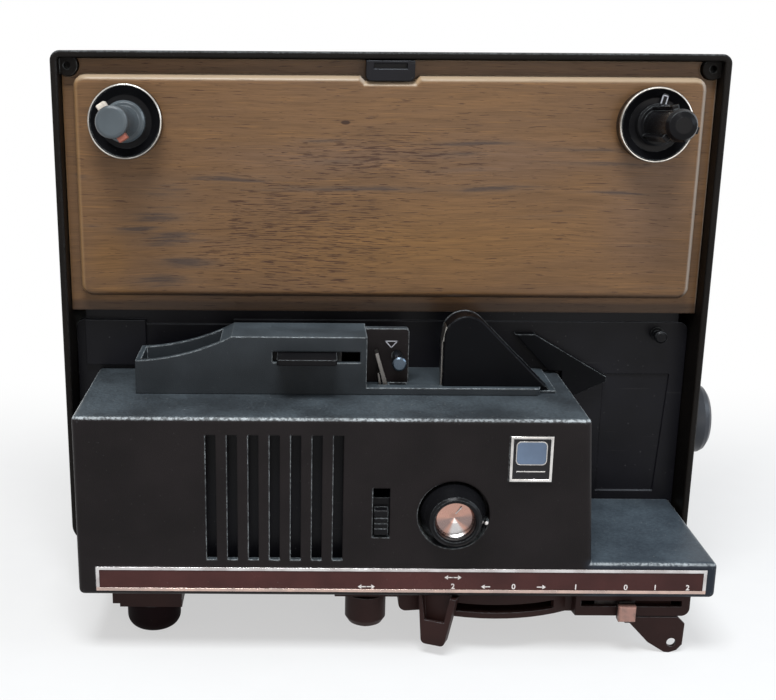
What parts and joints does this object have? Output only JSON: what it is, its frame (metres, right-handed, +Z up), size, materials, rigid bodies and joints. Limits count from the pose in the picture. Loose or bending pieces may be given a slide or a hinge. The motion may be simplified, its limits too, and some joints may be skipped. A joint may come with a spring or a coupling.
{
  "type": "movie projector",
  "caption": "Film projector: upright case with a wood-faced panel, two reel spindles, a vented front housing with focus knob, a film deck on top, and slides and a lever below.",
  "frame": {"origin": "centre of the footprint, on the surface that the feet stand on", "axes": "+Z up; -Y is the operator's side with the housing and its controls; +X is the side where the picture leaves the lens"},
  "size_m": [0.2834, 0.1686, 0.237],
  "materials": {
    "case_plastic": "fine leather grain, satin",
    "housing_plastic": "fine grain, satin",
    "wood_veneer": "straight horizontal grain, satin lacquer",
    "panel_black": "matt black paint",
    "black_plastic": "smooth, glossy",
    "grey_plastic": "smooth, satin",
    "ivory_plastic": "smooth, satin",
    "bright_steel": "turned",
    "chrome_trim": "polished",
    "aluminium_disc": "spun face",
    "strip_black": "smooth, glossy",
    "rubber_black": "matt",
    "lens_glass": "coated",
    "nylon_white": "smooth"
  },
  "bodies": {
    "case": {"rear_case": "case_plastic", "wood_panel": "wood_veneer", "latch_keeper": "panel_black", "mechanism_panel": "panel_black", "front_housing": "housing_plastic", "strip_frame": "chrome_trim", "strip_field": "strip_black", "badge": "chrome_trim", "heat_shield": "panel_black", "base_plate": "housing_plastic", "rubber_feet": "rubber_black", "film_deck": "housing_plastic", "load_plate": "housing_plastic", "load_pin": "bright_steel", "film_guides": "chrome_trim", "dome_guide": "black_plastic", "wedge_guide": "housing_plastic", "lid_stud": "chrome_trim", "bearing_bushes": "bright_steel", "lens_holder": "panel_black", "aperture_plate": "bright_steel", "gate_bracket": "bright_steel", "lamp_reflector": "aluminium_disc", "lamp_bulb": "lens_glass", "lamp_socket": "nylon_white", "shaft_bearings": "bright_steel", "motor_stator": "bright_steel", "motor_bracket": "bright_steel", "fan_housing": "housing_plastic", "belts": "rubber_black", "transformer": "bright_steel", "cord_inlet": "black_plastic", "control_pod": "housing_plastic"},
    "left_spindle": {"left_spindle_shaft": "grey_plastic", "left_spindle_drum": "grey_plastic", "left_spindle_keys": "ivory_plastic"},
    "right_spindle": {"right_spindle_shaft": "black_plastic", "right_spindle_drum": "grey_plastic"},
    "load_slider": {"load_slider": "black_plastic"},
    "speed_slide": {"speed_slide": "grey_plastic"},
    "focus": {"focus_knob": "black_plastic", "focus_disc": "aluminium_disc", "focus_shaft": "bright_steel"},
    "lens": {"lens_barrel": "aluminium_disc", "lens_elements": "lens_glass"},
    "pressure_plate": {"pressure_plate": "bright_steel"},
    "pulldown_claw": {"pulldown_claw": "bright_steel"},
    "main_shaft": {"main_shaft": "bright_steel", "inching_knob": "black_plastic", "shutter": "panel_black"},
    "sprocket": {"sprocket": "nylon_white", "sprocket_gear": "nylon_white"},
    "motor_rotor": {"motor_rotor": "bright_steel", "fan_wheel": "nylon_white"},
    "carrying_handle": {"carrying_handle": "black_plastic"},
    "direction_lever": {"direction_lever": "housing_plastic"},
    "frame_knob": {"frame_knob": "housing_plastic"},
    "power_slide": {"power_slide": "ivory_plastic"},
    "elevating_leg": {"elevating_leg": "panel_black"}
  },
  "joints": [
    {"name": "left_spindle_turn", "type": "hinge", "parent": "case", "child": "left_spindle", "pos_m": [-0.11149, -0.0187, 0.2093], "axis": [0, -0.9976, 0.0698], "continuous": true},
    {"name": "right_spindle_turn", "type": "hinge", "parent": "case", "child": "right_spindle", "pos_m": [0.10011, -0.0187, 0.2093], "axis": [0, -0.9976, 0.0698], "continuous": true},
    {"name": "load_slider_slide", "type": "slide", "parent": "case", "child": "load_slider", "axis": [1, 0, 0], "range_m": [0, 0.0089]},
    {"name": "speed_slide_slide", "type": "slide", "parent": "case", "child": "speed_slide", "axis": [0, 0, 1], "range_m": [0, 0.0075]},
    {"name": "focus_turn", "type": "hinge", "parent": "case", "child": "focus", "pos_m": [0.01961, -0.0763, 0.0626], "axis": [0, 1, 0], "range_deg": [0, 63.6]},
    {"name": "lens_slide", "type": "slide", "parent": "case", "child": "lens", "axis": [1, 0, 0], "range_m": [0, 0.005]},
    {"name": "pressure_plate_slide", "type": "slide", "parent": "case", "child": "pressure_plate", "axis": [1, 0, 0], "range_m": [0, 0.0015], "stiffness_N_per_m": 60},
    {"name": "claw_slide", "type": "slide", "parent": "case", "child": "pulldown_claw", "axis": [0, 0, 1], "range_m": [0, 0.0042]},
    {"name": "motor_turn", "type": "hinge", "parent": "case", "child": "motor_rotor", "pos_m": [-0.08769, 0.0423, 0.07], "axis": [1, 0, 0], "continuous": true},
    {"name": "main_shaft_turn", "type": "hinge", "parent": "case", "child": "main_shaft", "pos_m": [-0.00569, 0.0063, 0.0778], "axis": [1, 0, 0], "continuous": true},
    {"name": "sprocket_turn", "type": "hinge", "parent": "case", "child": "sprocket", "pos_m": [0.02651, -0.0197, 0.1138], "axis": [0, 1, 0], "continuous": true},
    {"name": "carrying_handle_turn", "type": "hinge", "parent": "case", "child": "carrying_handle", "pos_m": [-0.00569, 0.0358, 0.2285], "axis": [-1, 0, 0], "range_deg": [0, 90]},
    {"name": "direction_lever_turn", "type": "hinge", "parent": "case", "child": "direction_lever", "pos_m": [0.03831, -0.0112, 0.0196], "axis": [0, 0, 1], "range_deg": [0, 42]},
    {"name": "frame_knob_turn", "type": "hinge", "parent": "case", "child": "frame_knob", "pos_m": [-0.01349, -0.0597, 0.0086], "axis": [0, 0, 1], "range_deg": [-40, 40]},
    {"name": "power_slide_slide", "type": "slide", "parent": "case", "child": "power_slide", "axis": [1, 0, 0], "range_m": [0, 0.0186]},
    {"name": "elevating_leg_turn", "type": "hinge", "parent": "case", "child": "elevating_leg", "pos_m": [0.09191, -0.0655, 0.0136], "axis": [1, 0, 0], "range_deg": [0, 85]}
  ],
  "couplings": [
    {"joint": "lens_slide", "follows": "focus_turn", "m_per_rad": 0.0045},
    {"joint": "main_shaft_turn", "follows": "motor_turn", "ratio": 0.41667},
    {"joint": "sprocket_turn", "follows": "motor_turn", "ratio": 0.011574}
  ]
}
